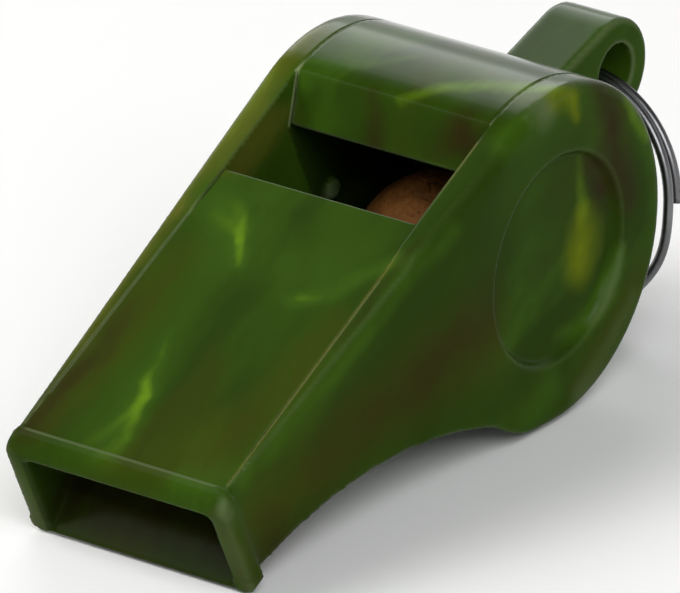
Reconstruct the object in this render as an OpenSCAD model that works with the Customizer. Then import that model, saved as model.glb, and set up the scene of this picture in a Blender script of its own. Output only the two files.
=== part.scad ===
// Pea whistle: a moulded body, a windway roof, a barrel cap with its lug, a cork pea and a split ring.
// It lies on its belly: the barrel and the lower lip of the mouth touch the floor at Z = 0.
// The pieces are drawn square to the roof, with Y from the mouth to the rear and Z up from the roof's top,
// and are then tipped onto the belly together.

/* [Barrel] */
// Outer diameter of the round barrel
barrel_d = 23.9; // [23:0.1:27]
// Width over both cheeks at the barrel
body_w = 20; // [19:0.1:23]
// Rounding of the barrel's outer edges
barrel_edge_r = 0.85; // [0.5:0.05:2.2]
// Diameter of the chamber inside the barrel
chamber_d = 18.6; // [17.5:0.1:19.6]
// Thickness of each cheek beside the chamber
cheek_t = 2.25; // [1.9:0.05:2.8]
// Distance from the front of the mouth back to the barrel's axis
barrel_back = 35.2; // [33:0.1:40]
// Depth of the barrel's axis below the roof's top
barrel_drop = 11.65; // [10.8:0.05:12]

/* [Cheek recess] */
// Diameter of the round recess at its rim
recess_d = 14.9; // [10:0.1:17]
// Depth of the recess
recess_depth = 0.7; // [0.3:0.1:1.2]
// Slope allowance: how much narrower the recess is at its floor
recess_draft = 0.9; // [0.2:0.1:2]
// How far the recess lies ahead of the barrel's axis, towards the mouth
recess_ahead = 0.2; // [0:0.05:0.5]

/* [Mouthpiece] */
// Width over the cheeks just behind the mouth flange
mouth_w = 16.9; // [16.6:0.1:18]
// Height of the mouthpiece just behind the mouth flange
mouth_h = 7.6; // [6.5:0.1:9]
// Radius of the hollow curve of the belly
belly_r = 34; // [26:1:50]
// Distance from the mouth at which the cheek tops begin to rise to the barrel
cheek_rise_at = 22; // [16:0.5:26]
// Steepness of that rise, in degrees
cheek_rise = 6; // [4:0.5:9]
// Rounding of the cheeks' outer top edges at the mouth
mouth_edge_r = 0.35; // [0.2:0.05:0.8]

/* [Mouth flange] */
// Thickness of the flange from front to back
flange_t = 1.5; // [1:0.1:2.5]
// How far the flange stands out past each cheek
flange_side = 0.5; // [0.3:0.1:1.2]
// How far the flange stands down past the belly
flange_below = 0.7; // [0.4:0.1:1.5]
// How far the flange stands up past the roof
flange_above = 0.25; // [0.1:0.05:0.6]
// Height of the sloping bevel along the flange's top front edge
flange_bevel = 1.15; // [0.6:0.05:1.4]
// Rounding of the flange's upper corners
flange_corner_r = 1.2; // [0.6:0.1:1.6]
// Rounding of the flange's lower corners
flange_foot_r = 0.5; // [0.3:0.1:1]
// Thickness of the flange's lower lip at its front edge
lower_lip_t = 0.2; // [0.15:0.05:0.6]

/* [Windway] */
// Width of the roof plate at the mouth
roof_front_w = 16; // [15.4:0.1:16.2]
// Length of the roof plate, from the flange to the window
roof_len = 24.5; // [22:0.1:26]
// Thickness of the roof plate at the mouth
roof_front_t = 1.5; // [1.45:0.05:2]
// Thickness of the roof plate at the window
roof_rear_t = 2.1; // [1.6:0.1:2.6]
// Width of the ledge in each cheek that carries the roof
ledge_w = 0.65; // [0.4:0.05:1]
// Height of the air slit at the window
slit_h = 1.1; // [0.8:0.1:1.6]
// How far the windway's floor runs on past the roof
floor_past = 0.5; // [0.2:0.1:1]
// Thickness of the windway's floor behind the mouth
floor_t = 0.8; // [0.6:0.1:1.4]
// Length of the floor's slope down to the lower lip
floor_slope_len = 2.6; // [1.8:0.1:4]

/* [Barrel cap] */
// Distance of the sharp lip in front of the barrel's axis
lip_ahead = 2.45; // [1.5:0.05:3.2]
// Steepness of the cap's front ramp above the lip, in degrees
ramp_angle = 50; // [40:1:60]
// How far the cap runs round the back of the barrel, in degrees below the roof's direction
cap_wrap = 34; // [28:1:45]
// Glue gap on each side of the roof and the cap
seam_gap = 0.05; // [0.03:0.01:0.1]

/* [Lug] */
// Distance of the lug's hole from the barrel's axis
lug_reach = 18; // [16.8:0.1:20]
// Slope of the lug below the roof's direction, in degrees
lug_slope = 8; // [0:1:12]
// Outer diameter of the lug's round end
lug_d = 7.5; // [6.6:0.1:8.4]
// Width of the lug across the whistle
lug_w = 5.2; // [4:0.1:6.4]
// Diameter of the hole through the lug
lug_hole_d = 4; // [3.8:0.1:4.8]
// Rounding of the lug's edges
lug_edge_r = 0.4; // [0.3:0.1:0.8]

/* [Pea] */
// Diameter of the cork pea
pea_d = 12.4; // [11:0.1:12.8]
// Running gap between the pea and the chamber's wall
pea_gap = 0.35; // [0.3:0.05:0.8]
// How far the pea lies to the right of the middle
pea_side = 0.4; // [0:0.1:0.8]

/* [Gate mark] */
// Diameter of the pip left inside the left cheek by moulding
gate_d = 1.8; // [1:0.1:2.4]
// Height of the pip
gate_h = 0.5; // [0.2:0.1:0.8]

/* [Split ring] */
// Diameter of the ring at the middle of its wire
ring_d = 16.6; // [15:0.1:17]
// Diameter of the wire
wire_d = 0.7; // [0.5:0.05:1]
// Gap between the two turns of wire
turn_gap = 0.06; // [0.04:0.01:0.15]
// How far the wire's two ends stand off their neighbours
end_spread = 0.3; // [0:0.05:0.5]
// Place of the split, in degrees round the ring from the lug
split_at = 102; // [80:2:150]
// Clearance of the wire in the lug's hole
ring_gap = 0.8; // [0.2:0.05:0.9]
// Lean of the ring towards the barrel, in degrees, as it stands on the floor
ring_lean = 12; // [0:1:16]

/* [Hidden] */
$fn = 64;
green = [0.16, 0.27, 0.06];
leaf = [0.22, 0.36, 0.08];
cork = [0.56, 0.30, 0.13];
steel = [0.30, 0.30, 0.31];

// Sliver by which cutting shapes overrun, and larger overrun for open sides
eps = 0.02;
past = 5;

barrel_r = barrel_d / 2;
chamber_r = chamber_d / 2;
half_w = body_w / 2;
inner_half = half_w - cheek_t;
axis = [barrel_back, -barrel_drop];
roof_end = flange_t + roof_len;
floor_end = roof_end + floor_past;
slit_floor = -roof_rear_t - slit_h;

// The belly is an arc that starts level at the flange and meets the barrel
belly_mid = [flange_t / 2, -mouth_h - belly_r];

// Tip of the whistle that brings the barrel and the lower lip onto the floor
lip_foot = [0, -mouth_h - flange_below];
foot_to_axis = axis - lip_foot;
tilt = asin(barrel_r / norm(foot_to_axis)) - atan2(foot_to_axis.y, foot_to_axis.x);

lug_hole_r = lug_hole_d / 2;
lug_r = lug_d / 2;
lug_at = axis + lug_reach * [cos(lug_slope), -sin(lug_slope)];

// Furthest forward, furthest back and lowest reach of the tipped whistle
bevel_foot = [0, flange_above - flange_bevel];
bevel_head = [flange_bevel, flange_above];
front_reach = min(tipped(bevel_foot).x, tipped(bevel_head).x);
rear_reach = max(tipped(axis).x + barrel_r, tipped(lug_at).x + lug_r);
mid_y = (front_reach + rear_reach) / 2;
lift = barrel_r - tipped(axis).y;

pea_orbit = chamber_r - pea_gap - pea_d / 2;
axis_on_floor = tipped(axis) + [-mid_y, lift];
lug_on_floor = tipped(lug_at) + [-mid_y, lift];

// The wire hangs in the lug's hole, and clears it where its arc leaves the lug's faces
ring_r = ring_d / 2;
wire_r = wire_d / 2;
turn_pitch = wire_d + turn_gap;
wire_room = sqrt(pow(lug_hole_r - wire_r - ring_gap, 2) - pow(turn_pitch / 2, 2));
wire_sag = ring_r - sqrt(pow(ring_r, 2) - pow(lug_w / 2, 2));
ring_hang = wire_room - wire_sag;

// Half the arc in which the wire steps from one turn to the next, and the arc over which the ends spread
step_arc = 18;
spread_arc = 80;
wire_sides = 10;
wire_step = 9;
wire_from = split_at + step_arc;
wire_to = split_at + 720 - step_arc;
wire_turns = [for (a = [wire_from:wire_step:wire_to]) a];

// Place of a point of the side view after the tip
function tipped(p) = [p.x * cos(tilt) - p.y * sin(tilt), p.x * sin(tilt) + p.y * cos(tilt)];

function mix(a, b, share) = a + (b - a) * share;
function smooth(t) = t * t * (3 - 2 * t);
function clamp(t) = max(0, min(1, t));

// Sideways place of the wire at a turning angle: one turn, a step across, the other turn
function wire_side(a) =
    let (step = smooth(clamp((a - split_at - 360 + step_arc) / (2 * step_arc))))
    let (first = clamp(1 - (a - wire_from) / spread_arc), last = clamp(1 - (wire_to - a) / spread_arc))
    turn_pitch * (step - 0.5) + end_spread * (last * last - first * first);

// Middle of the wire, and one point on its round section
function wire_mid(a) = [ring_r * sin(a), wire_side(a), ring_r * (cos(a) - 1)];
function wire_point(a, b) = wire_mid(a) + wire_r * [cos(b) * sin(a), sin(b), cos(b) * cos(a)];

// Stands a side view up across the whistle's width
module across(w) {
    rotate([90, 0, 90])
        linear_extrude(w, center = true)
            children();
}

module rounded_rect(w, h, r, corner_fn = 32) {
    square([w - 2 * r, h], center = true);
    square([w, h - 2 * r], center = true);
    for (sx = [-1, 1], sy = [-1, 1])
        translate([sx * (w / 2 - r), sy * (h / 2 - r)])
            circle(r, $fn = corner_fn);
}

// Round disc on the width axis with both rims rounded
module rounded_disc(r, w, edge, edge_fn = 32) {
    rotate([0, 90, 0])
        rotate_extrude()
            intersection() {
                rounded_rect(2 * r, w, edge, edge_fn);
                translate([0, -w / 2])
                    square([r, w]);
            }
}

module on_axis() {
    translate([0, axis.x, axis.y])
        children();
}

// Tips the drawn whistle onto its belly
module on_belly() {
    translate([0, -mid_y, lift])
        rotate([tilt, 0, 0])
            children();
}

// Plan outline that tapers evenly from one half width to another
module taper(y_from, half_from, y_to, half_to) {
    linear_extrude(4 * barrel_d, center = true)
        polygon([[-half_from, y_from], [half_from, y_from], [half_to, y_to], [-half_to, y_to]]);
}

// Thin slice through the mouthpiece inside the flange, with rounded upper corners
module mouth_slice() {
    half = mouth_w / 2;
    translate([0, flange_t / 2, 0])
        rotate([90, 0, 0])
            linear_extrude(eps) {
                for (side = [-1, 1])
                    translate([side * (half - mouth_edge_r), -mouth_edge_r])
                        circle(mouth_edge_r, $fn = 32);
                translate([-half, lip_foot.y])
                    square([2 * half, eps]);
            }
}

// What is cut away over the cheeks: level with the roof, then rising to the barrel
module cheek_top() {
    rise_run = barrel_back - cheek_rise_at;
    across(2 * body_w)
        polygon([
            [-past, 0],
            [cheek_rise_at, 0],
            [barrel_back, rise_run * tan(cheek_rise)],
            [barrel_back, 2 * past],
            [-past, 2 * past]
        ]);
}

// What is cut away under the belly, up to the barrel's own round
module belly_hollow() {
    skin = 0.1;
    across(2 * body_w)
        difference() {
            translate(belly_mid)
                circle(belly_r, $fn = 128);
            translate(axis)
                circle(barrel_r + skin, $fn = 128);
        }
}

// Barrel with the mouthpiece drawn smoothly out of it, solid
module shell() {
    difference() {
        hull() {
            mouth_slice();
            on_axis()
                rounded_disc(barrel_r, body_w, barrel_edge_r, 24, $fn = 96);
        }
        cheek_top();
        belly_hollow();
    }
}

// Front view of the flange, with fuller corners at its foot
module flange_face(w, h) {
    rounded_rect(w, h, flange_corner_r);
    translate([0, -h / 4])
        rounded_rect(w, h / 2, flange_foot_r);
}

// Rim that the teeth hold, sloped along its top front edge
module flange() {
    w = mouth_w + 2 * flange_side;
    top = flange_above;
    bottom = lip_foot.y;
    intersection() {
        across(w + 2)
            polygon([bevel_foot, bevel_head, [flange_t, top], [flange_t, bottom], lip_foot]);
        translate([0, past, (top + bottom) / 2])
            rotate([90, 0, 0])
                linear_extrude(2 * past)
                    flange_face(w, top - bottom);
    }
}

// Space that the roof plate fills; room widens it into its seat
module roof_block(room) {
    intersection() {
        taper(flange_t, roof_front_w / 2 + room, roof_end, inner_half + room);
        across(2 * body_w)
            polygon([
                [flange_t, room * past / seam_gap],
                [roof_end + room, room * past / seam_gap],
                [roof_end + room, -roof_rear_t],
                [flange_t, -roof_front_t]
            ]);
    }
}

// Air path from the mouth to the slit, cut up into the roof's seat so that no film is left between
module windway() {
    front_half = roof_front_w / 2 - ledge_w;
    in_seat = roof_front_t / 2;
    intersection() {
        taper(-past, front_half, floor_end + past, inner_half - ledge_w);
        across(2 * body_w)
            polygon([
                [-past, -roof_front_t],
                [flange_t, -roof_front_t],
                [flange_t + in_seat, -in_seat],
                [floor_end + eps, -in_seat],
                [floor_end + eps, slit_floor],
                [floor_slope_len, -mouth_h + floor_t],
                [0, lip_foot.y + lower_lip_t],
                [-past, lip_foot.y + lower_lip_t]
            ]);
    }
}

// Wedge of the side view between two angles round the barrel's axis
module sector(from, to) {
    reach = 3 * barrel_d;
    mid = (from + to) / 2;
    translate(axis)
        polygon([[0, 0], for (a = [from, mix(from, mid, 0.5), mid, mix(mid, to, 0.5), to]) reach * [cos(a), sin(a)]]);
}

// Chamber, window and the gap that the cap closes
module chamber() {
    w = 2 * inner_half;
    on_axis()
        rotate([0, 90, 0])
            cylinder(r = chamber_r, h = w, center = true);
    translate([-inner_half, floor_end, axis.y])
        cube([w, barrel_back - floor_end, barrel_drop + past]);
    translate([-inner_half, roof_end, -roof_rear_t])
        cube([w, barrel_back - roof_end, roof_rear_t + past]);
    intersection() {
        on_axis()
            rotate([0, 90, 0])
                cylinder(r = barrel_r + past, h = w, center = true);
        across(2 * body_w)
            sector(-cap_wrap, 90);
    }
}

module recesses() {
    for (side = [-1, 1])
        on_axis()
            translate([0, -recess_ahead, 0])
                rotate([0, side * 90, 0])
                    translate([0, 0, half_w - recess_depth])
                        cylinder(d1 = recess_d - recess_draft, d2 = recess_d, h = recess_depth + eps / 2);
}

// Pip in line with the mould's gate, on the left cheek's inner face
module gate_mark() {
    gate_ahead = 0.8;
    gate_up = 1.4;
    on_axis()
        translate([-inner_half - eps, -gate_ahead, gate_up])
            rotate([0, 90, 0])
                cylinder(d1 = gate_d, d2 = gate_d * 0.7, h = gate_h + eps);
}

module body() {
    color(green)
        on_belly() {
            difference() {
                union() {
                    shell();
                    flange();
                }
                chamber();
                windway();
                roof_block(seam_gap);
                recesses();
            }
            gate_mark();
        }
}

module windway_roof() {
    color(leaf)
        on_belly()
            roof_block(0);
}

// Round strap standing off the barrel's back, drilled for the ring
module lug() {
    root = barrel_r - chamber_r;
    on_axis()
        rotate([-lug_slope, 0, 0])
            difference() {
                union() {
                    translate([0, chamber_r + root / 2, 0])
                        rotate([-90, 0, 0])
                            linear_extrude(lug_reach - chamber_r - root / 2)
                                rounded_rect(lug_w, lug_d, lug_edge_r);
                    translate([0, lug_reach, 0])
                        rounded_disc(lug_r, lug_w, lug_edge_r);
                }
                translate([0, lug_reach, 0])
                    rotate([0, 90, 0])
                        cylinder(r = lug_hole_r, h = 2 * lug_w, center = true);
            }
}

// Top and back of the barrel between the cheeks, with the sharp lip that splits the air
module barrel_cap() {
    w = 2 * (inner_half - seam_gap);
    lip = axis + [-lip_ahead, sqrt(pow(chamber_r, 2) - pow(lip_ahead, 2))];
    up_ramp = [cos(ramp_angle), sin(ramp_angle)];
    seat_gap_angle = asin(seam_gap / barrel_r);
    color(leaf)
        on_belly() {
            across(w)
                difference() {
                    intersection() {
                        difference() {
                            translate(axis)
                                circle(barrel_r, $fn = 128);
                            translate(axis)
                                circle(chamber_r, $fn = 128);
                        }
                        sector(seat_gap_angle - cap_wrap, 120);
                    }
                    polygon([
                        lip - past * up_ramp,
                        lip + 2 * past * up_ramp,
                        lip + 2 * past * up_ramp - [barrel_d, 0],
                        lip - past * up_ramp - [barrel_d, 0]
                    ]);
                }
            lug();
        }
}

module cork_pea() {
    color(cork)
        translate([pea_side, axis_on_floor.x, axis_on_floor.y - pea_orbit])
            sphere(d = pea_d);
}

// Two turns of wire swept round the ring, leaning from the lug's hole
module split_ring() {
    rings = len(wire_turns);
    points = [for (a = wire_turns, s = [0:wire_sides - 1]) wire_point(a, s * 360 / wire_sides)];
    walls = [
        for (i = [0:rings - 2], s = [0:wire_sides - 1])
            let (t = (s + 1) % wire_sides, here = i * wire_sides, next = here + wire_sides)
            [here + s, here + t, next + t, next + s]
    ];
    start = [for (s = [wire_sides - 1:-1:0]) s];
    end = [for (s = [0:wire_sides - 1]) (rings - 1) * wire_sides + s];
    color(steel)
        translate([0, lug_on_floor.x, lug_on_floor.y])
            rotate([-ring_lean, 0, 0])
                translate([0, 0, -ring_hang])
                    polyhedron(points, concat([start, end], walls));
}

body();
windway_roof();
barrel_cap();
cork_pea();
split_ring();
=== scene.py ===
import math

import bmesh
import bpy
from bpy.props import FloatProperty, FloatVectorProperty, IntProperty, PointerProperty
from bpy.types import Operator, Panel, PropertyGroup
from mathutils import Matrix, Vector, noise


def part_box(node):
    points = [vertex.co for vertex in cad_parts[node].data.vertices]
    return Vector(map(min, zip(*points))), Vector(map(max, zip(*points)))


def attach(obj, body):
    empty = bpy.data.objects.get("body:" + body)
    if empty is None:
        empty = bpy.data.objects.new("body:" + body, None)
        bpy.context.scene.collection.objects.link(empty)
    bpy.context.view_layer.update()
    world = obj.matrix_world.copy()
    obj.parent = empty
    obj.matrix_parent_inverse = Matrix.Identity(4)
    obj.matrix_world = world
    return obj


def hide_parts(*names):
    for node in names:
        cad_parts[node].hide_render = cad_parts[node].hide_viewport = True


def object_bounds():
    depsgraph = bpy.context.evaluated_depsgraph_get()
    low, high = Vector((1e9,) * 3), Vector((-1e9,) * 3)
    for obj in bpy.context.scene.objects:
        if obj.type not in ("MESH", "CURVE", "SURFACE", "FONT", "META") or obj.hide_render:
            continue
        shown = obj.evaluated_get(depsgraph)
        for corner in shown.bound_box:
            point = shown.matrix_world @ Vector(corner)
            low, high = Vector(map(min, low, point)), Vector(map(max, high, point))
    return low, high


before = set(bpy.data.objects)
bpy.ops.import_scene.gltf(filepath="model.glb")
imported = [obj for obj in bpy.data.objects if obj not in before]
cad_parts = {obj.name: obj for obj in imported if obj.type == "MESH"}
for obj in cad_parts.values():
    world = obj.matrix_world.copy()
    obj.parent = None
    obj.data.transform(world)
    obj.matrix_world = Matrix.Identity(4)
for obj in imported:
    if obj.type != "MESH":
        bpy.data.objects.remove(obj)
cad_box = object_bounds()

bl_info = {
    "name": "Pea Whistle",
    "version": (1, 0, 0),
    "blender": (4, 5, 0),
    "location": "3D View > Sidebar > Whistle",
    "description": "Finishes a pea whistle in marbled plastic, cork and steel, with its studio",
    "category": "Object",
}

MM = 0.001

# The whistle lies tipped: this turn and shift square it to the mouth's top edge. In that squared frame,
# in millimetres, x runs to the right cheek, y from the mouth to the rear and z up from the roof's top
BELLY_TIP = math.radians(25.189)
MOUTH_TOP = (0, 23.109, -19.169)

# Barrel's axis and the crease above the cap's ramp, as y and z in the squared frame
BARREL = (35.2, -11.65)
RAMP_TOP = (35.25, 0.30)

# Mouth's flange: where it ends, where its thin lower lip begins, and where its polish begins behind it
FLANGE_END = 1.4
FLANGE_FOOT = -7.4
POLISH_FROM = 1.8

# Where the flange runs into the cheeks: reach along y and z, outside the cheeks' half width
FLOW_Y = (0.9, 3.0)
FLOW_Z = (-7.0, -0.5)
CHEEK_HALF = 8.4

# Seams of the roof and the cap: y and half width at both ends of the taper, and how far a seam reaches
SEAM_FRONT = (1.5, 8.03)
SEAM_REAR = (26.0, 7.75)
SEAM_REACH = 0.3

# Outer skin: above this height, or further than this from the barrel's axis
SKIN_TOP = -0.7
SKIN_RADIUS = 11.2

# Inside, darkened as painted shade: the windway and window ahead of the cap's lip, and the chamber's side
# walls behind it
LIP_Y = 32.6
WINDWAY_HALF = 7.6
WINDWAY_TOP = -1.6
CHAMBER_WALL = (7.65, 8.0)
CHAMBER_RADIUS = 9.2

# Wear and painted highlight on the edges: ridges that count, a lighter share round the recess and along the
# cheeks, none at the ramp's crease
RIDGE = (0.04, 0.16)
LIGHT_WEAR_AND_HIGHLIGHT = 0.3
RECESS_RADIUS = 8.6
CHEEK_END = 36.0
CREASE_REACH = 1.2

# Polish fades in away from the crease, and as a face turns upwards
POLISH_CREASE = (0.5, 1.7)
POLISH_UP = (0.55, 0.90)

# Finest grid for the body, coarser one for the roof and the cap
BODY_GRID = 8
PLATE_GRID = 7

# Width of a moulding that is shown as wide as it was packed
AS_PACKED = 1.0

# How many times more the join of the flange and the flange itself are smoothed than other edges
FLOW_ROUNDS = 8
FLANGE_ROUNDS = 3

# Cork: fineness of the ball, cells round it, how sharp the cracks between them are, the patches in which
# they gather, and the broad dents
PEA_SUBDIVISIONS = 7
CORK_CELLS = 5.5
CRACK_SHARPNESS = 4.5
CRACK_SHARE = 0.75
PATCHES = 2.3
PATCH_RAISE = 0.25
DENTS = 1.7
DENT_SHARE = 0.45
DENT_SHIFT = Vector((3, 1, 4))

# Wire of the ring: sides of its section, and sections along its two turns
WIRE_SIDES = 18
WIRE_STEPS = 228

# Streaks of the marbling, with painted highlights, glints, sheen, glow and shade among them, in the squared
# frame: a tint, and a line of points (x, y, z, half width, strength)
STREAKS = (
    # Left cheek and rim
    ("straw", ((-9.2, 2.5, 0, 1.8, 0.8), (-9.3, 12, 0, 1.9, 0.9), (-9.5, 22, 0, 2, 0.95))),
    ("straw", ((-9.5, 22, 0, 2, 0.95), (-9.6, 34, 0.4, 2.4, 0.95), (-9.4, 39, -0.4, 2.2, 0.8))),
    ("lime", ((-9.6, 25, 0, 1.4, 0.1), (-9.9, 34, 0.4, 1.8, 0.45))),
    # Roof plate: clouds, then the two bright wisps
    ("olive", ((-6.9, 3, 0, 3.2, 0.8), (-6.4, 13, 0, 3, 0.8), (-6.2, 19, 0, 2.4, 0.4))),
    ("brown", ((-7.6, 1.5, 0, 2.2, 0.75), (-7.2, 10, 0, 1.8, 0.6), (-6.8, 14, 0, 1.2, 0.2))),
    ("olive", ((5.5, 4, 0, 3.6, 0.75), (6.8, 10, 0, 3, 0.7), (7.2, 17, 0, 2.2, 0.5))),
    ("fresh", ((-3, 20.5, 0, 4, 0.35), (3.5, 19.5, 0, 3.6, 0.2))),
    ("fresh", ((3.4, 17.6, 0, 1.2, 0.5), (5.6, 19.2, 0, 1.3, 0.45), (8.3, 23, 0, 1.2, 0.7))),
    ("lime", ((3.2, 18.6, 0, 0.3, 0.2), (3.6, 18, 0, 0.5, 0.4), (4.6, 18.4, 0, 0.4, 0.15))),
    (
        "fresh",
        (
            (-2.2, 19.4, 0, 0.9, 0.5),
            (-3.6, 21.2, 0, 1.8, 0.7),
            (-6, 23.2, 0, 2.4, 0.5),
            (-8, 24, 0, 2.4, 0.2),
        ),
    ),
    ("lime", ((-2.2, 19.3, 0, 0.3, 0.2), (-2.7, 20, 0, 0.5, 0.9), (-3.3, 21, 0, 0.65, 1))),
    ("lime", ((-3.3, 21, 0, 0.65, 1), (-3.9, 22.2, 0, 0.65, 0.6), (-5, 23.6, 0, 0.9, 0.15))),
    ("lime", ((-3.3, 21, 0, 0.5, 0.6), (-4.6, 21.9, 0, 0.8, 0.35), (-6, 22.5, 0, 0.9, 0.1))),
    (
        "fresh",
        (
            (-3.2, 12, 0, 0.8, 0.2),
            (-2.2, 8, 0, 1.3, 0.55),
            (-1.5, 4.4, 0, 2, 0.5),
            (-1.5, 1.5, 0, 2.6, 0.3),
        ),
    ),
    (
        "lime",
        (
            (-3, 11.4, 0, 0.3, 0.1),
            (-2.5, 9, 0, 0.45, 0.5),
            (-2.2, 7.6, 0, 0.6, 1),
            (-1.75, 6.4, 0, 0.65, 1),
        ),
    ),
    (
        "lime",
        (
            (-1.75, 6.4, 0, 0.65, 1),
            (-1.3, 4.6, 0, 0.75, 0.65),
            (-1.1, 3.2, 0, 0.9, 0.4),
            (-1.3, 1.8, 0, 1, 0.2),
        ),
    ),
    ("lime", ((-1.8, 5.8, 0, 0.4, 0.5), (-2.1, 4, 0, 0.7, 0.25), (-2.8, 1.8, 0, 1, 0.1))),
    # Ramp and top of the cap
    ("dark", ((-5.5, 34.2, -0.8, 3.2, 0.7), (0, 34.2, -0.8, 3, 0.4), (3, 34.3, -0.7, 3.2, 0.9))),
    ("dark", ((3, 34.3, -0.7, 3.2, 0.9), (5.5, 34.3, -0.8, 3.6, 0.95))),
    ("fresh", ((-8.2, 33.4, -1.8, 1.6, 0.6), (-7.2, 34.8, -0.4, 1.4, 0.6))),
    ("brown", ((-1.2, 33, -2.4, 1.5, 0.85), (-1.9, 35.2, 0.1, 1.4, 0.45))),
    ("brown", ((3.8, 33.6, -1.7, 1.6, 0.3), (6, 34.2, -0.9, 2.8, 1))),
    (
        "lime",
        (
            (0.4, 35, 0.25, 0.8, 0.3),
            (2.8, 37, 0.2, 1, 0.7),
            (5, 38.5, -0.1, 1.4, 0.95),
            (9.2, 40.6, -1, 1.3, 1),
        ),
    ),
    ("fresh", ((-7.6, 36, 0.3, 0.5, 0.5), (-4.5, 37, 0.2, 0.7, 0.6), (-1, 39.8, -0.6, 0.7, 0.4))),
    # Painted sheen on the right of the cap's top, in the pale tint
    ("worn", ((5, 39.8, -0.8, 2.4, 0.3), (9.4, 38.4, -0.6, 2.2, 0.6))),
    # Painted highlight along the lip's edge, in lime
    ("lime", ((2.6, 32.8, -2.6, 0.35, 0.3), (4.2, 32.8, -2.6, 0.45, 0.9), (5.6, 32.8, -2.6, 0.3, 0.2))),
    # Left wall of the window, lightened with straw as painted light falling through the window, and the
    # moulding pip behind it, painted pale as a painted highlight
    ("straw", ((-7.75, 27, -1.2, 2.4, 0.75), (-7.75, 31.8, -1.6, 2.4, 0.8))),
    # Painted highlight on the moulding pip
    ("worn", ((-7.6, 34.4, -10.25, 1.3, 0.9), (-7.2, 34.4, -10.25, 1.3, 0.9))),
    # Right cheek
    ("olive", ((9.5, 26, -10, 5.5, 0.85), (9, 14, -6, 5, 0.9), (8.8, 3, -4, 4.5, 0.85))),
    ("brown", ((9.7, 27, -8.5, 4.5, 0.5), (9.4, 20, -8, 4.5, 0.65), (9, 10, -5, 3.5, 0.25))),
    # Painted highlight band along the cheek's upper outer edge, in fresh green
    ("fresh", ((8.9, 3, -0.6, 1.1, 0.5), (9.4, 18, -0.6, 1.2, 0.5), (9.7, 27, -0.6, 1.2, 0.4))),
    ("brown", ((8.6, 15, 0, 0.5, 0.3), (8.7, 20, 0, 0.6, 0.5), (8.8, 25, 0, 0.6, 0.4))),
    ("fresh", ((10, 30.4, -19.6, 2.4, 0.55), (10, 27.5, -19.2, 2.4, 0.5))),
    # Face of the barrel, the patch in its recess, partly marbling and partly a painted glow, and a painted
    # glint on the recess's wall
    ("fresh", ((9.5, 34, 0.2, 2, 0.5), (9.6, 36.5, 0, 1.6, 0.4))),
    ("dark", ((10, 40, -5.5, 3, 0.7), (10, 36.5, -4, 3, 0.5))),
    ("olive", ((10, 41.5, -19.8, 2.6, 0.6), (10, 35.8, -21.3, 2.6, 0.7), (10, 33, -21.8, 2.2, 0.6))),
    ("worn", ((10, 40.3, -20.8, 1.6, 0.2), (10, 36, -21.9, 1.6, 0.25), (10, 32.5, -22.4, 1.6, 0.35))),
    ("fresh", ((10, 45.9, -8.2, 1.2, 0.5), (10, 46.1, -12.3, 1.2, 0.5), (10, 45.2, -16.2, 1.2, 0.3))),
    (
        "brown",
        (
            (10, 44.2, -4, 2.2, 0.95),
            (10, 43.6, -7, 2.4, 1),
            (10, 43.4, -10, 2.3, 0.95),
            (10, 43, -14, 1.8, 0.7),
        ),
    ),
    ("yellow", ((9.8, 39.6, -0.8, 1.6, 0.8), (9.9, 41.1, -2.1, 1.5, 0.9), (10, 41, -3.9, 0.8, 0.5))),
    ("lime", ((10, 45.6, -7.2, 0.8, 0.4), (10, 46.4, -11, 0.9, 0.6))),
    ("brown", ((9.3, 41.8, -8.6, 2.4, 0.95), (9.3, 41.5, -11.6, 2.2, 1), (9.3, 41, -13, 1.6, 0.6))),
    ("lime", ((9.3, 40.4, -7.5, 0.7, 0.2), (9.3, 39.7, -10, 0.9, 0.4), (9.3, 39, -12, 1.3, 0.6))),
    # Yellow patch in the recess: yellow marbling brightened as a painted glow of light through the plastic
    ("yellow", ((9.3, 38.9, -11.8, 1.8, 0.9), (9.3, 38.2, -13.4, 3.2, 1), (9.3, 37.6, -14.4, 3, 1))),
    # Painted glint on the recess's lower wall: fresh green with the pale tint over it
    (
        "fresh",
        (
            (9.6, 41, -16.6, 1.1, 0.6),
            (9.6, 38.4, -18.3, 1.4, 0.85),
            (9.6, 35.4, -18.9, 1.4, 0.8),
            (9.5, 33, -17.6, 1, 0.3),
        ),
    ),
    ("worn", ((9.8, 41.2, -16.4, 0.6, 0.2), (9.8, 38.6, -18.3, 0.8, 0.4), (9.8, 36, -19, 0.8, 0.3))),
    # Flange round the mouth: painted shade along its top bar, a painted dull reflection on its side bars, a
    # painted highlight on its right top corner
    # Painted shade along the flange's top bar, near the opening
    ("dark", ((-8.8, 0.2, -0.7, 1.5, 0.7), (8, 0.2, -0.7, 1.5, 0.75))),
    # Side bars greyed with the pale tint and darkened with brown as a painted dull reflection
    ("brown", ((8.5, 0, -1.2, 1.3, 0.5), (8.5, 0, -8, 1.3, 0.55))),
    ("worn", ((8.5, 0, -1.2, 1.3, 0.2), (8.5, 0, -8, 1.3, 0.3))),
    ("brown", ((-8.5, 0, -1.2, 1.3, 0.4), (-8.5, 0, -8, 1.3, 0.5))),
    ("worn", ((-8.5, 0, -1.2, 1.3, 0.2), (-8.5, 0, -8, 1.3, 0.4))),
    # Painted highlight on the flange's rounded top right corner
    ("worn", ((8.7, 0.5, 0, 0.8, 0.55), (8.8, 0.5, -0.9, 0.8, 0.4))),
    # Inside of the mouth: brown painted as shade
    ("brown", ((-7, 3, -7.5, 5, 0.9), (7, 3, -7.5, 5, 0.9))),
)

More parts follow.
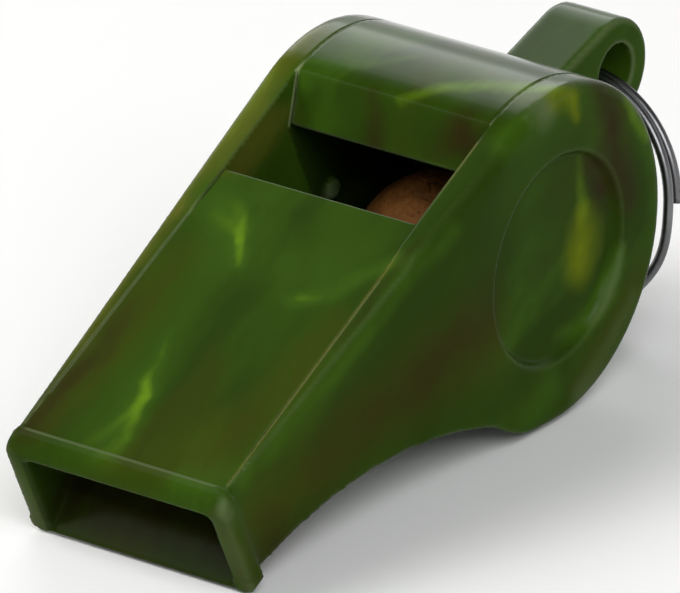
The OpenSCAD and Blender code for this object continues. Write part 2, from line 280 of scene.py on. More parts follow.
# Fine pale lines along the seams of the roof and the cap, written as the streaks are
SEAM_LINES = (
    ("straw", ((8.12, 2, 0, 0.22, 0.6), (7.88, 26, 0, 0.22, 0.8), (7.75, 33.5, 0.3, 0.22, 0.8))),
    ("flash", ((-8.12, 2, 0, 0.2, 0.15), (-7.88, 26, 0, 0.2, 0.25))),
    ("flash", ((-7.75, 32.8, -2.6, 0.22, 0.6), (-7.75, 35.2, 0.3, 0.25, 0.8), (-7.75, 36.4, 0.3, 0.2, 0.1))),
    ("flash", ((7.75, 35.2, 0.3, 0.15, 0.3), (7.75, 38.5, -0.2, 0.15, 0.3))),
)

# Softboxes: name, place from the camera's aim and size in metres, the setting of the power, and colour
SOFTBOXES = (
    ("key", (-0.42, -0.38, 0.57), (0.45, 0.45), "key_power", (1, 0.99, 0.97)),
    ("fill", (0.42, -0.36, 0.54), (0.45, 0.45), "fill_power", (0.98, 0.99, 1)),
    ("rim", (-0.44, 0.50, 0.44), (0.44, 0.50), "rim_power", (1, 1, 1)),
)

# Brightness of the sky at the horizon and overhead, and the heights between which it changes
HORIZON = 0.95
OVERHEAD = 0.11
SKY_CHANGE = (0.15, 0.75)

# Half the floor's width, and how far the floor lies below the whistle, in metres
FLOOR_REACH = 3.0
FLOOR_DROP = 0.2 * MM


class WhistleMoulding(PropertyGroup):
    """Sizes of the moulded pieces' finish."""

    merge_distance: FloatProperty(
        name="Merge Distance",
        description="Distance within which loose corners of a packed piece are joined",
        default=1e-7,
        precision=8,
        unit="LENGTH",
    )
    body_share: FloatProperty(
        name="Body Grid Share",
        description="Share of the finest grid that the body fills: more gives smaller faces",
        default=0.77,
        min=0.5,
        max=0.95,
        subtype="FACTOR",
    )
    roof_share: FloatProperty(
        name="Roof Grid Share",
        description="Share of the grid that the roof plate fills: more gives smaller faces",
        default=0.95,
        min=0.5,
        max=0.95,
        subtype="FACTOR",
    )
    cap_share: FloatProperty(
        name="Cap Grid Share",
        description="Share of the grid that the barrel cap fills: more gives smaller faces",
        default=0.95,
        min=0.5,
        max=0.95,
        subtype="FACTOR",
    )
    edge_passes: IntProperty(
        name="Edge Passes",
        description="Rounds of smoothing that soften the edges of the body and the cap",
        default=3,
        min=0,
        max=12,
    )
    roof_passes: IntProperty(
        name="Roof Edge Passes",
        description="Rounds of smoothing that soften the edges of the roof plate",
        default=1,
        min=0,
        max=12,
    )
    roof_fit: FloatProperty(
        name="Roof Fit",
        description="How much wider the shown roof plate is, so that its seams close to fine lines",
        default=1.014,
    )
    cap_fit: FloatProperty(
        name="Cap Fit",
        description="How much wider the shown barrel cap is, so that its seams close to fine lines",
        default=1.008,
    )


class WhistlePlastic(PropertyGroup):
    """Colours and polish of the marbled plastic."""

    dark: FloatVectorProperty(
        name="Dark Green",
        description="Darkest green of the marbling",
        default=(0.019, 0.042, 0.003),
        subtype="COLOR",
    )
    leaf: FloatVectorProperty(
        name="Leaf Green",
        description="Main green of the marbling",
        default=(0.028, 0.064, 0.004),
        subtype="COLOR",
    )
    fresh: FloatVectorProperty(
        name="Fresh Green",
        description="Lighter green of the broad drifts",
        default=(0.045, 0.105, 0.007),
        subtype="COLOR",
    )
    lime: FloatVectorProperty(
        name="Lime",
        description="Yellow-green of the wisps",
        default=(0.105, 0.20, 0.008),
        subtype="COLOR",
    )
    yellow: FloatVectorProperty(
        name="Yellow",
        description="Yellow of the thickest wisps",
        default=(0.125, 0.16, 0.002),
        subtype="COLOR",
    )
    olive: FloatVectorProperty(
        name="Olive",
        description="Olive of the cloudy patches",
        default=(0.038, 0.044, 0.003),
        subtype="COLOR",
    )
    straw: FloatVectorProperty(
        name="Straw",
        description="Yellow olive of the left cheek and the right seam",
        default=(0.108, 0.112, 0.014),
        subtype="COLOR",
    )
    brown: FloatVectorProperty(
        name="Brown",
        description="Brown of the darkest streaks",
        default=(0.024, 0.018, 0.004),
        subtype="COLOR",
    )
    # Pale tint for rubbed edges, which also paints highlights and sheen on the edges, the cap's top, the
    # recess wall, the pip and the flange
    worn: FloatVectorProperty(
        name="Worn Edge",
        description="Paler green of the rubbed edges",
        default=(0.12, 0.16, 0.07),
        subtype="COLOR",
    )
    flash: FloatVectorProperty(
        name="Seam Flash",
        description="Pale green of the fine lines along the seams",
        default=(0.26, 0.31, 0.15),
        subtype="COLOR",
    )
    shadow: FloatVectorProperty(
        name="Shadow",
        description="Near black that darkens the inside",
        default=(0.004, 0.004, 0.002),
        subtype="COLOR",
    )
    # How strongly the edges take the pale tint, as wear and painted highlight
    wear_and_highlight_share: FloatProperty(
        name="Wear",
        description="How strongly the worn colour shows on the edges",
        default=0.75,
        subtype="FACTOR",
    )
    # How strongly painted shade darkens the inside
    depth: FloatProperty(
        name="Depth",
        description="How strongly the inside is darkened",
        default=0.5,
        subtype="FACTOR",
    )
    roughness: FloatProperty(
        name="Roughness",
        description="Mean roughness of the polished plastic",
        default=0.16,
        subtype="FACTOR",
    )
    haze: FloatProperty(
        name="Haze",
        description="Spread of the roughness between clear and hazy places",
        default=0.08,
        subtype="FACTOR",
    )
    index: FloatProperty(
        name="Refraction",
        description="Index of refraction of the plastic under its polish",
        default=1.06,
    )
    polish: FloatProperty(
        name="Polish",
        description="Index of refraction of the polished skin, which sets how strongly it reflects",
        default=1.26,
    )
    polish_roughness: FloatProperty(
        name="Polish Roughness",
        description="Roughness of the polished skin",
        default=0.2,
        subtype="FACTOR",
    )
    dull: FloatProperty(
        name="Dull",
        description="Share of the polish that the sides and the inside keep",
        default=0.03,
        subtype="FACTOR",
    )


class WhistlePea(PropertyGroup):
    """Size and colours of the cork pea."""

    skin: FloatProperty(
        name="Skin",
        description="How far the cork's surface stays inside the packed ball",
        default=0.02 * MM,
        unit="LENGTH",
        precision=5,
    )
    pit_depth: FloatProperty(
        name="Pit Depth",
        description="Depth of the pits in the cork",
        default=0.28 * MM,
        unit="LENGTH",
        precision=5,
    )
    tan: FloatVectorProperty(
        name="Cork",
        description="Main colour of the cork",
        default=(0.165, 0.064, 0.012),
        subtype="COLOR",
    )
    bark: FloatVectorProperty(
        name="Bark",
        description="Dark colour in the cork's pits",
        default=(0.055, 0.018, 0.008),
        subtype="COLOR",
    )


class WhistleRing(PropertyGroup):
    """Sizes and colours of the split ring."""

    wire: FloatProperty(
        name="Wire",
        description="Diameter of the ring's wire",
        default=0.7 * MM,
        unit="LENGTH",
        precision=5,
    )
    pitch: FloatProperty(
        name="Pitch",
        description="Distance between the middles of the two turns",
        default=0.76 * MM,
        unit="LENGTH",
        precision=5,
    )
    spread: FloatProperty(
        name="End Spread",
        description="How far the two ends stand off their neighbours",
        default=0.3 * MM,
        unit="LENGTH",
        precision=5,
    )
    split_at: FloatProperty(
        name="Split",
        description="Place of the split round the ring from its top",
        default=math.radians(102),
        subtype="ANGLE",
    )
    step_arc: FloatProperty(
        name="Step",
        description="Half the arc in which the wire steps from one turn to the next",
        default=math.radians(18),
        subtype="ANGLE",
    )
    spread_arc: FloatProperty(
        name="Spread Arc",
        description="Arc over which the two ends stand off",
        default=math.radians(80),
        subtype="ANGLE",
    )
    lean: FloatProperty(
        name="Lean",
        description="Lean of the ring towards the barrel",
        default=math.radians(12),
        subtype="ANGLE",
    )
    steel: FloatVectorProperty(
        name="Steel",
        description="Colour of the steel",
        default=(0.20, 0.20, 0.205),
        subtype="COLOR",
    )


class WhistleStudio(PropertyGroup):
    """Camera, floor and lamps."""

    azimuth: FloatProperty(
        name="Azimuth",
        description="Turn of the camera to the right of the mouth",
        default=math.radians(35.359),
        subtype="ANGLE",
    )
    elevation: FloatProperty(
        name="Elevation",
        description="Height of the camera above the floor, as an angle",
        default=math.radians(24.491),
        subtype="ANGLE",
    )
    distance: FloatProperty(
        name="Distance",
        description="Distance from the camera to the aim",
        default=0.92255,
        unit="LENGTH",
    )
    aim: FloatVectorProperty(
        name="Aim",
        description="Point in the middle of the picture",
        default=(-0.001019, -0.001944, 0.009815),
        subtype="XYZ",
        precision=5,
    )
    lens: FloatProperty(
        name="Lens",
        description="Focal length of the camera in millimetres",
        default=741.2,
    )
    sensor: FloatProperty(
        name="Sensor",
        description="Width of the camera's sensor in millimetres",
        default=36,
    )
    key_power: FloatProperty(
        name="Key",
        description="Power of the large softbox to the left of the mouth",
        default=4.2,
        unit="POWER",
    )
    fill_power: FloatProperty(
        name="Fill",
        description="Power of the softbox to the right of the mouth",
        default=3.0,
        unit="POWER",
    )
    rim_power: FloatProperty(
        name="Rim",
        description="Power of the softbox behind the barrel",
        default=1.5,
        unit="POWER",
    )
    sky: FloatProperty(
        name="Sky",
        description="Strength of the even light all round",
        default=0.75,
    )
    floor: FloatVectorProperty(
        name="Floor",
        description="Colour of the floor",
        default=(0.96, 0.96, 0.955),
        subtype="COLOR",
    )


class Sock:
    """A value on its way through a material, written as an expression."""

    def __init__(self, paint, socket):
        self.paint = paint
        self.socket = socket

    def math(self, operation, first, second):
        return self.paint.node("ShaderNodeMath", {"operation": operation}, {0: first, 1: second})

    def __add__(self, other):
        return self.math("ADD", self, other)

    def __radd__(self, other):
        return self.math("ADD", other, self)

    def __sub__(self, other):
        return self.math("SUBTRACT", self, other)

    def __rsub__(self, other):
        return self.math("SUBTRACT", other, self)

    def __mul__(self, other):
        return self.math("MULTIPLY", self, other)

    def __rmul__(self, other):
        return self.math("MULTIPLY", other, self)

    def larger(self, other):
        return self.math("MAXIMUM", self, other)


class Paint:
    """A node tree under construction: a material's or the world's."""

    def __init__(self, tree):
        self.tree = tree
        tree.nodes.clear()

    def node(self, kind, settings=None, inputs=None, out=0):
        """Add a node, set it up, fill or link its sockets and give one of its outputs."""
        made = self.tree.nodes.new(kind)
        for key, value in (settings or {}).items():
            setattr(made, key, value)
        for key, value in (inputs or {}).items():
            if isinstance(value, Sock):
                self.tree.links.new(value.socket, made.inputs[key])
            else:
                made.inputs[key].default_value = value
        return Sock(self, made.outputs[out]) if made.outputs else None

    def vector(self, operation, first, second, out="Vector"):
        """Vector maths on two vectors, or on a vector and the number that scales it."""
        other = "Scale" if operation == "SCALE" else 1
        return self.node("ShaderNodeVectorMath", {"operation": operation}, {0: first, other: second}, out)

    def place(self):
        """Place on the piece, in millimetres."""
        return self.vector("SCALE", self.node("ShaderNodeTexCoord", out="Object"), 1 / MM)

    def attribute(self, name):
        return self.node("ShaderNodeAttribute", {"attribute_name": name}, out="Fac")

    def turned(self, vector, turn=(0, 0, 0), stretch=(1, 1, 1), shift=(0, 0, 0)):
        return self.node(
            "ShaderNodeMapping",
            {"vector_type": "POINT"},
            {"Vector": vector, "Location": shift, "Rotation": turn, "Scale": stretch},
        )

    def noise(self, vector, scale, detail, rough=0.55, out="Fac"):
        return self.node(
            "ShaderNodeTexNoise",
            None,
            {"Vector": vector, "Scale": scale, "Detail": detail, "Roughness": rough},
            out,
        )

    def warped(self, vector, scale, reach):
        """The place pushed about by a broad noise, which draws a pattern out into swirls."""
        swirl = self.noise(vector, scale, detail=2, out="Color")
        centred = self.vector("SUBTRACT", swirl, (0.5, 0.5, 0.5))
        return self.vector("ADD", vector, self.vector("SCALE", centred, reach))

    def step(self, value, low, high):
        return self.node(
            "ShaderNodeMapRange",
            {"interpolation_type": "SMOOTHSTEP"},
            {"Value": value, "From Min": low, "From Max": high},
        )

    def streak(self, vector, points):
        """Soft mask along a line of points, in millimetres, that widens and fades between them."""
        mask = None
        for first, last in zip(points, points[1:]):
            start = Vector(first[:3])
            run = Vector(last[:3]) - start
            offset = self.vector("SUBTRACT", vector, start)
            reach = self.vector("DOT_PRODUCT", offset, run / run.length_squared, "Value")
            along = self.node("ShaderNodeClamp", None, {"Value": reach})
            gap = self.vector("DISTANCE", offset, self.vector("SCALE", run, along), "Value")
            width, strength = (along * (b - a) + a for a, b in zip(first[3:], last[3:]))
            part = self.step(gap, width, 0) * strength
            mask = mask.larger(part) if mask else part
        return mask

    def blend(self, share, first, second):
        return self.node("ShaderNodeMix", {"data_type": "RGBA"}, {0: share, 6: first, 7: second}, 2)

    def bump(self, height, distance, strength):
        shape = {"Height": height, "Distance": distance, "Strength": strength}
        return self.node("ShaderNodeBump", None, shape)

    def surface(self, inputs):
        shader = self.node("ShaderNodeBsdfPrincipled", None, inputs)
        self.node("ShaderNodeOutputMaterial", None, {"Surface": shader})


def new_paint(name):
    material = bpy.data.materials.new(name)
    material.use_nodes = True
    return material, Paint(material.node_tree)


def rgba(colour, share=1.0):
    """A colour with its alpha, at full or a share of its brightness."""
    return (*(part * share for part in colour), 1.0)


def rise(value, low, high):
    """How far a value has come from low to high, kept between 0 and 1."""
    return max(0.0, min(1.0, (value - low) / (high - low)))


def stirred_greens(paint, square, look):
    """Ground of the marbling: dark and leaf green, drifts of fresh green and clouds of olive."""
    flowing = paint.warped(paint.warped(square, scale=0.06, reach=9), scale=0.2, reach=1.6)
    drawn_out = paint.turned(flowing, turn=(0, 0, 0.25), stretch=(1.0, 0.3, 0.7))
    shades = paint.noise(drawn_out, scale=0.15, detail=3, rough=0.5)
    drifts = paint.noise(paint.turned(drawn_out, shift=(14, 3, 8)), scale=0.12, detail=4, rough=0.5)
    clouds = paint.noise(paint.turned(drawn_out, shift=(31, 7, 12)), scale=0.11, detail=3, rough=0.5)
    colour = paint.blend(paint.step(shades, 0.36, 0.62), rgba(look.dark), rgba(look.leaf))
    colour = paint.blend(paint.step(drifts, 0.52, 0.70) * 0.6, colour, rgba(look.fresh))
    return paint.blend(paint.step(clouds, 0.52, 0.68) * 0.5, colour, rgba(look.olive))


def streaked(paint, square, colour, look):
    """The streaks, waved and combed into fibres, with the seam lines straight over them."""
    wavy = paint.warped(paint.warped(square, scale=0.16, reach=2.0), scale=0.45, reach=0.5)
    fibres = paint.noise(paint.turned(wavy, stretch=(1.6, 0.3, 0.4)), scale=0.9, detail=2, rough=0.5)
    combed = paint.step(fibres, 0.3, 0.6) * 0.3 + 0.7
    for tint, points in STREAKS:
        colour = paint.blend(paint.streak(wavy, points) * combed, colour, rgba(getattr(look, tint)))
    for tint, points in SEAM_LINES:
        colour = paint.blend(paint.streak(square, points), colour, rgba(getattr(look, tint)))
    return colour


def marbled_plastic(look):
    """Glossy plastic in which greens, lime wisps and brown clouds were stirred together, with painted
    highlights, sheen and shade laid over them.
    """
    material, paint = new_paint("stirred_green_plastic")
    square = paint.turned(paint.place(), turn=(-BELLY_TIP, 0, 0), shift=MOUTH_TOP)
    colour = streaked(paint, square, stirred_greens(paint, square, look), look)
    # Ridges lightened with the pale tint: partly wear, partly painted highlight
    colour = paint.blend(paint.attribute("worn") * look.wear_and_highlight_share, colour, rgba(look.worn))
    # Painted shade: the windway, the window and the chamber's side walls darkened towards near black
    colour = paint.blend(paint.attribute("inside") * look.depth, colour, rgba(look.shadow))

    haze = paint.noise(paint.place(), scale=0.9, detail=3)
    scuffs = paint.noise(paint.turned(paint.place(), stretch=(3.0, 0.5, 3.0)), scale=1.6, detail=6, rough=0.7)
    paint.surface(
        {
            "Base Color": colour,
            "Roughness": look.roughness + (haze - 0.5) * look.haze,
            "IOR": look.index,
            "Coat Weight": paint.attribute("polished") * (1 - look.dull) + look.dull,
            "Coat IOR": look.polish,
            "Coat Roughness": look.polish_roughness,
            "Normal": paint.bump(scuffs, 0.004 * MM, 0.5),
        }
    )
    return material


def cork_paint(look):
    """Matt cork, mottled tan with dark flecks."""
    material, paint = new_paint("pitted_cork")
    spot = paint.place()
    grain = paint.step(paint.noise(spot, scale=0.9, detail=5, rough=0.65), 0.35, 0.7)
    fleck = paint.step(paint.noise(spot, scale=2.6, detail=3, rough=0.6), 0.56, 0.68)
    pores = paint.noise(spot, scale=5.0, detail=4, rough=0.7)
    colour = paint.blend(grain, rgba(look.tan), rgba(look.tan, 0.62))
    paint.surface(
        {
            "Base Color": paint.blend(fleck * 0.8, colour, rgba(look.bark)),
            "Roughness": 0.72 + fleck * 0.18,
            "Specular IOR Level": 0.15,
            "Normal": paint.bump(pores, 0.05 * MM, 0.6),
        }
    )
    return material


def steel_paint(look):
    """Drawn steel wire with patches of tarnish."""
    material, paint = new_paint("tarnished_steel")
    spot = paint.place()
    drawn = paint.noise(paint.turned(spot, stretch=(6, 1, 1)), scale=1.2, detail=5, rough=0.7)
    tarnish = paint.step(paint.noise(spot, scale=0.5, detail=4), 0.45, 0.75)
    paint.surface(
        {
            "Base Color": paint.blend(tarnish * 0.6, rgba(look.steel), rgba(look.steel, 0.45)),
            "Metallic": 1.0,
            "Roughness": 0.24 + drawn * 0.16,
            "Normal": paint.bump(drawn, 0.004 * MM, 0.6),
        }
    )
    return material


def floor_paint(colour):
    """Pale matt floor with a faint mottle."""
    material, paint = new_paint("pale_floor")
    mottle = paint.noise(paint.place(), scale=0.02, detail=2)
    shade = paint.blend(mottle * 0.05, rgba(colour), rgba(colour, 0.96))
    paint.surface({"Base Color": shade, "Roughness": 0.9, "Specular IOR Level": 0.0})
    return material


def merged_copy(node, distance):
    """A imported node's surface as one joined mesh."""
    mesh = bmesh.new()
    mesh.from_mesh(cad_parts[node].data)
    bmesh.ops.remove_doubles(mesh, verts=mesh.verts, dist=distance)
    return mesh


def add_piece(name, mesh, material, body, node):
    """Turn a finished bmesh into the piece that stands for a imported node."""
    if not mesh.faces:
        raise RuntimeError(f"{name} has no faces")
    bmesh.ops.recalc_face_normals(mesh, faces=mesh.faces)
    data = bpy.data.meshes.new(name)
    mesh.to_mesh(data)
    mesh.free()
    for face in data.polygons:
        face.use_smooth = True
    data.materials.append(material)
    piece = bpy.data.objects.new(name, data)
    bpy.context.scene.collection.objects.link(piece)
    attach(piece, body)
    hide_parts(node)


def regrid(mesh, depth, share):
    """Lay an even grid of faces over a closed mesh and keep its edges where they are."""
    data = bpy.data.meshes.new("grid")
    mesh.to_mesh(data)
    mesh.free()
    holder = bpy.data.objects.new("grid", data)
    bpy.context.scene.collection.objects.link(holder)
    grid = holder.modifiers.new("grid", "REMESH")
    grid.mode = "SHARP"
    grid.octree_depth = depth
    grid.scale = share
    grid.sharpness = 1.0
    grid.use_remove_disconnected = False
    shown = holder.evaluated_get(bpy.context.evaluated_depsgraph_get())
    gridded = bmesh.new()
    gridded.from_mesh(shown.to_mesh())
    shown.to_mesh_clear()
    bpy.data.objects.remove(holder)
    bpy.data.meshes.remove(data)
    return gridded


def from_barrel(place):
    """Distance of a place, in the squared frame, from the barrel's axis."""
    return math.dist(place.yz, BARREL)


def from_crease(place):
    """Distance of a place from the crease above the cap's ramp."""
    return math.dist(place.yz, RAMP_TOP)


def flows(place):
    """Whether a place lies where the mouth's flange runs into the cheek."""
    beside = FLOW_Y[0] < place.y < FLOW_Y[1] and FLOW_Z[0] < place.z < FLOW_Z[1]
    return beside and abs(place.x) > CHEEK_HALF


def on_flange(place):
    """Whether a place lies on the mouth's flange, above its thin lower lip."""
    return place.y < FLANGE_END and place.z > FLANGE_FOOT


def at_seam(place):
    """Whether a place lies on the outer skin where the roof or the cap meets the body."""
    (front, front_half), (rear, rear_half) = SEAM_FRONT, SEAM_REAR
    half_width = front_half + (rear_half - front_half) * rise(place.y, front, rear)
    outside = place.z > SKIN_TOP or from_barrel(place) > SKIN_RADIUS
    return outside and abs(abs(place.x) - half_width) < SEAM_REACH


def is_inside(place):
    """Whether a place lies in the windway, under the window or on a side wall of the chamber, where painted
    shade darkens the colour.
    """
    side = abs(place.x)
    if place.y < LIP_Y:
        return side < WINDWAY_HALF and place.z < WINDWAY_TOP
    return CHAMBER_WALL[0] < side < CHAMBER_WALL[1] and from_barrel(place) < CHAMBER_RADIUS


def wear_and_highlight_at(place):
    """How strongly an edge at a place is lightened, as wear and painted highlight: freely, lightly or not at
    all.
    """
    if from_crease(place) < CREASE_REACH:
        return 0.0
    spared = place.y < FLANGE_END or at_seam(place) or from_barrel(place) < RECESS_RADIUS
    cheek_edge = place.y < CHEEK_END and abs(place.x) > CHEEK_HALF
    return LIGHT_WEAR_AND_HIGHLIGHT if spared or cheek_edge else 1.0


def polish_at(place, normal):
    """How polished a face is: its upward faces are, but not the flange and the inside."""
    if is_inside(place) or place.y < POLISH_FROM:
        return 0.0
    return rise(from_crease(place), *POLISH_CREASE) * rise(normal.z, *POLISH_UP)


def ridge_at(vert):
    """How far a corner stands out from its neighbours, against their spread."""
    around = [edge.other_vert(vert).co for edge in vert.link_edges]
    middle = sum(around, Vector()) / len(around)
    spread = sum((co - middle).length for co in around) / len(around)
    return (vert.co - middle).dot(vert.normal) / spread


def soften(mesh, passes):
    """Round the edges a little and mark the edges lightened as wear and painted highlight, the polished upper
    faces and the inside, which takes painted shade.
    """
    square_up = Matrix.Translation(MOUTH_TOP) @ Matrix.Rotation(-BELLY_TIP, 4, "X") @ Matrix.Scale(1 / MM, 4)
    places = [square_up @ vert.co for vert in mesh.verts]
    placed = list(zip(mesh.verts, places))
    free = [vert for vert, place in placed if not at_seam(place)]
    joins = [vert for vert, place in placed if flows(place)]
    rim = [vert for vert, place in placed if on_flange(place)]
    for verts, rounds in ((free, passes), (joins, FLOW_ROUNDS * passes), (rim, FLANGE_ROUNDS * passes)):
        for _ in range(rounds):
            bmesh.ops.smooth_vert(
                mesh, verts=verts, factor=0.5, use_axis_x=True, use_axis_y=True, use_axis_z=True
            )

    worn, polished, inside = (mesh.verts.layers.float.new(name) for name in ("worn", "polished", "inside"))
    mesh.normal_update()
    for vert, place in zip(mesh.verts, places):
        # Edge lightening, partly wear and partly painted highlight
        vert[worn] = wear_and_highlight_at(place) * rise(ridge_at(vert), *RIDGE)
        vert[polished] = polish_at(place, vert.normal)
        # Where painted shade darkens the inside
        vert[inside] = float(is_inside(place))


def shared_plastic(scene):
    return bpy.data.materials.get("stirred_green_plastic") or marbled_plastic(scene.whistle_plastic)


def add_moulding(scene, name, node, grid, share, fit, passes):
    """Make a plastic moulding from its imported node: regridded, widened to its seams and softened."""
    mesh = regrid(merged_copy(node, scene.whistle_moulding.merge_distance), grid, share)
    bmesh.ops.scale(mesh, verts=mesh.verts, vec=(fit, 1, 1))
    soften(mesh, passes)
    add_piece(name, mesh, shared_plastic(scene), "whistle", node)


class WHISTLE_OT_body(Operator):
    """Make the moulded body with softened edges"""

    bl_idname = "whistle.body"
    bl_label = "Body"

    def execute(self, context):
        scene = context.scene
        sizes = scene.whistle_moulding
        finish = (sizes.body_share, AS_PACKED, sizes.edge_passes)
        add_moulding(scene, "moulded_body", "body", BODY_GRID, *finish)
        return {"FINISHED"}


class WHISTLE_OT_roof(Operator):
    """Make the windway's roof plate with fine rounded edges"""

    bl_idname = "whistle.roof"
    bl_label = "Windway Roof"

    def execute(self, context):
        scene = context.scene
        sizes = scene.whistle_moulding
        finish = (sizes.roof_share, sizes.roof_fit, sizes.roof_passes)
        add_moulding(scene, "roof_plate", "windway_roof", PLATE_GRID, *finish)
        return {"FINISHED"}


class WHISTLE_OT_cap(Operator):
    """Make the barrel cap and its lug with softened edges"""

    bl_idname = "whistle.cap"
    bl_label = "Barrel Cap"

    def execute(self, context):
        scene = context.scene
        sizes = scene.whistle_moulding
        finish = (sizes.cap_share, sizes.cap_fit, sizes.edge_passes)
        add_moulding(scene, "lipped_cap", "barrel_cap", PLATE_GRID, *finish)
        return {"FINISHED"}


class WHISTLE_OT_pea(Operator):
    """Make the cork pea with its pits"""

    bl_idname = "whistle.pea"
    bl_label = "Cork Pea"

    def execute(self, context):
        look = context.scene.whistle_pea
        low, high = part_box("cork_pea")
        radius = (high.z - low.z) / 2 - look.skin
        mesh = bmesh.new()
        bmesh.ops.create_icosphere(mesh, subdivisions=PEA_SUBDIVISIONS, radius=radius)
        for vert in mesh.verts:
            outward = vert.co.normalized()
            nearest, next_nearest = noise.voronoi(outward * CORK_CELLS)[0][:2]
            crack = max(0.0, 1 - (next_nearest - nearest) * CRACK_SHARPNESS)
            patch = max(0.0, noise.noise(outward * PATCHES) + PATCH_RAISE)
            dent = 0.5 - 0.5 * noise.noise(outward * DENTS + DENT_SHIFT)
            vert.co -= outward * look.pit_depth * (CRACK_SHARE * crack * patch + DENT_SHARE * dent)
        bmesh.ops.translate(mesh, verts=mesh.verts, vec=(low + high) / 2)
        add_piece("cork_ball", mesh, cork_paint(look), "pea", "cork_pea")
        return {"FINISHED"}


class WHISTLE_OT_ring(Operator):
    """Wind the split ring from round wire"""

    bl_idname = "whistle.ring"
    bl_label = "Split Ring"

    def execute(self, context):
        look = context.scene.whistle_ring
        low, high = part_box("split_ring")
        radius = (high.x - low.x - look.wire) / 2
        start = look.split_at + look.step_arc
        swept = math.tau * 2 - 2 * look.step_arc

        mesh = bmesh.new()
        section = Matrix.Translation((0, 0, radius)) @ Matrix.Rotation(math.pi / 2, 4, "Y")
        bmesh.ops.create_circle(mesh, segments=WIRE_SIDES, radius=look.wire / 2, matrix=section)
        bmesh.ops.rotate(mesh, verts=mesh.verts, cent=(0, 0, 0), matrix=Matrix.Rotation(start, 3, "Y"))
        bmesh.ops.spin(
            mesh,
            geom=mesh.verts[:] + mesh.edges[:],
            cent=(0, 0, 0),
            axis=(0, 1, 0),
            angle=swept,
            steps=WIRE_STEPS,
            use_duplicate=False,
        )
        for index, vert in enumerate(mesh.verts):
            turn = (index // WIRE_SIDES) * swept / WIRE_STEPS
            crossing = rise(turn, swept / 2 - look.step_arc, swept / 2 + look.step_arc)
            crossing = crossing * crossing * (3 - 2 * crossing)
            first = 1 - rise(turn, 0, look.spread_arc)
            last = 1 - rise(swept - turn, 0, look.spread_arc)
            vert.co.y += look.pitch * (crossing - 0.5) + look.spread * (last**2 - first**2)
        bmesh.ops.holes_fill(mesh, edges=[edge for edge in mesh.edges if edge.is_boundary], sides=WIRE_SIDES)
        bmesh.ops.rotate(mesh, verts=mesh.verts, cent=(0, 0, 0), matrix=Matrix.Rotation(-look.lean, 3, "X"))
        bmesh.ops.translate(mesh, verts=mesh.verts, vec=(low + high) / 2)
        add_piece("wire_ring", mesh, steel_paint(look), "ring", "split_ring")
        return {"FINISHED"}


def look_at(thing, target):
    thing.rotation_euler = (target - thing.location).to_track_quat("-Z", "Y").to_euler()


def add_softbox(name, place, target, size, power, colour):
    data = bpy.data.lights.new(name, "AREA")
    data.shape = "RECTANGLE"
    data.size, data.size_y = size
    data.energy = power
    data.color = colour
    lamp = bpy.data.objects.new(name, data)
    lamp.location = place
    bpy.context.scene.collection.objects.link(lamp)
    look_at(lamp, target)


def add_world(strength):
    """Even studio light: pale round the horizon, darker overhead."""
    world = bpy.data.worlds.new("studio")
    bpy.context.scene.world = world
    world.use_nodes = True
    paint = Paint(world.node_tree)
    way = paint.node("ShaderNodeTexCoord", out="Generated")
    height = paint.node("ShaderNodeSeparateXYZ", None, {0: way}, "Z")
    colour = paint.blend(paint.step(height, *SKY_CHANGE), rgba([HORIZON] * 3), rgba([OVERHEAD] * 3))
    shader = paint.node("ShaderNodeBackground", None, {"Color": colour, "Strength": strength})
    paint.node("ShaderNodeOutputWorld", None, {"Surface": shader})


def add_floor(colour):
    mesh = bmesh.new()
    bmesh.ops.create_grid(mesh, x_segments=8, y_segments=8, size=FLOOR_REACH)
    data = bpy.data.meshes.new("floor")
    mesh.to_mesh(data)
    mesh.free()
    data.materials.append(floor_paint(colour))
    floor = bpy.data.objects.new("floor", data)
    floor.location.z = cad_box[0][2] - FLOOR_DROP
    bpy.context.scene.collection.objects.link(floor)


def add_camera(look, aim):
    lens = bpy.data.cameras.new("camera")
    lens.sensor_width = look.sensor
    lens.lens = look.lens
    lens.clip_start = 10 * MM
    camera = bpy.data.objects.new("camera", lens)
    level = math.cos(look.elevation)
    away = Vector((math.sin(look.azimuth) * level, -math.cos(look.azimuth) * level, math.sin(look.elevation)))
    camera.location = aim + away * look.distance
    bpy.context.scene.collection.objects.link(camera)
    look_at(camera, aim)
    bpy.context.scene.camera = camera


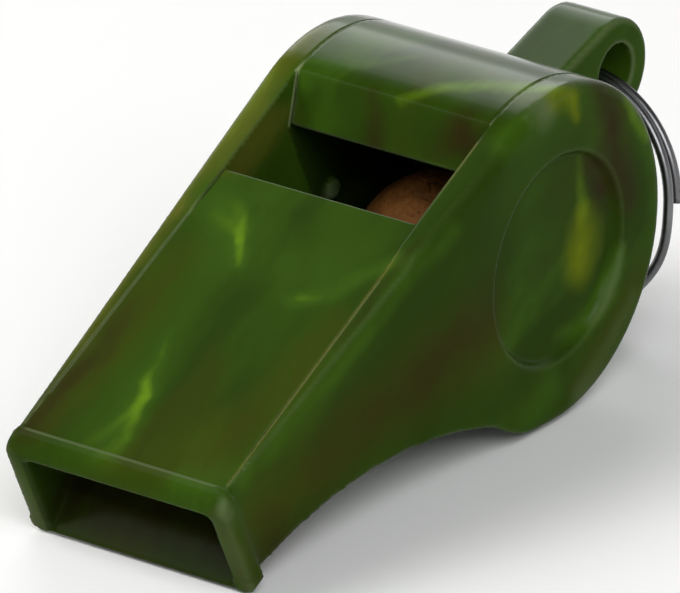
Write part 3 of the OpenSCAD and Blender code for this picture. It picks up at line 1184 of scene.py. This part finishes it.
class WHISTLE_OT_stage(Operator):
    """Lay the pale floor and set the lamps, the world and the camera"""

    bl_idname = "whistle.stage"
    bl_label = "Stage"

    def execute(self, context):
        look = context.scene.whistle_studio
        aim = Vector(look.aim)
        add_floor(look.floor)
        for name, offset, size, power, colour in SOFTBOXES:
            add_softbox(name, aim + Vector(offset), aim, size, getattr(look, power), colour)
        add_world(look.sky)
        add_camera(look, aim)
        context.scene.view_settings.view_transform = "Standard"
        return {"FINISHED"}


MAKERS = (
    WHISTLE_OT_body,
    WHISTLE_OT_roof,
    WHISTLE_OT_cap,
    WHISTLE_OT_pea,
    WHISTLE_OT_ring,
    WHISTLE_OT_stage,
)

SETTINGS = {
    "whistle_moulding": WhistleMoulding,
    "whistle_plastic": WhistlePlastic,
    "whistle_pea": WhistlePea,
    "whistle_ring": WhistleRing,
    "whistle_studio": WhistleStudio,
}


class WHISTLE_PT_parts(Panel):
    """Sidebar panel with the whistle's sizes, colours and pieces"""

    bl_idname = "WHISTLE_PT_parts"
    bl_label = "Pea Whistle"
    bl_space_type = "VIEW_3D"
    bl_region_type = "UI"
    bl_category = "Whistle"

    def draw(self, context):
        for settings in SETTINGS:
            group = getattr(context.scene, settings)
            box = self.layout.box()
            for name in group.bl_rna.properties.keys():
                if name not in {"name", "rna_type"}:
                    box.prop(group, name)
        for maker in MAKERS:
            self.layout.operator(maker.bl_idname)


CLASSES = (*SETTINGS.values(), *MAKERS, WHISTLE_PT_parts)


def register():
    for kind in CLASSES:
        bpy.utils.register_class(kind)
    for name, group in SETTINGS.items():
        setattr(bpy.types.Scene, name, PointerProperty(type=group))


def unregister():
    for name in SETTINGS:
        delattr(bpy.types.Scene, name)
    for kind in reversed(CLASSES):
        bpy.utils.unregister_class(kind)


def main():
    register()
    bpy.ops.whistle.body()
    bpy.ops.whistle.roof()
    bpy.ops.whistle.cap()
    bpy.ops.whistle.pea()
    bpy.ops.whistle.ring()
    bpy.ops.whistle.stage()


if __name__ == "__main__":
    main()
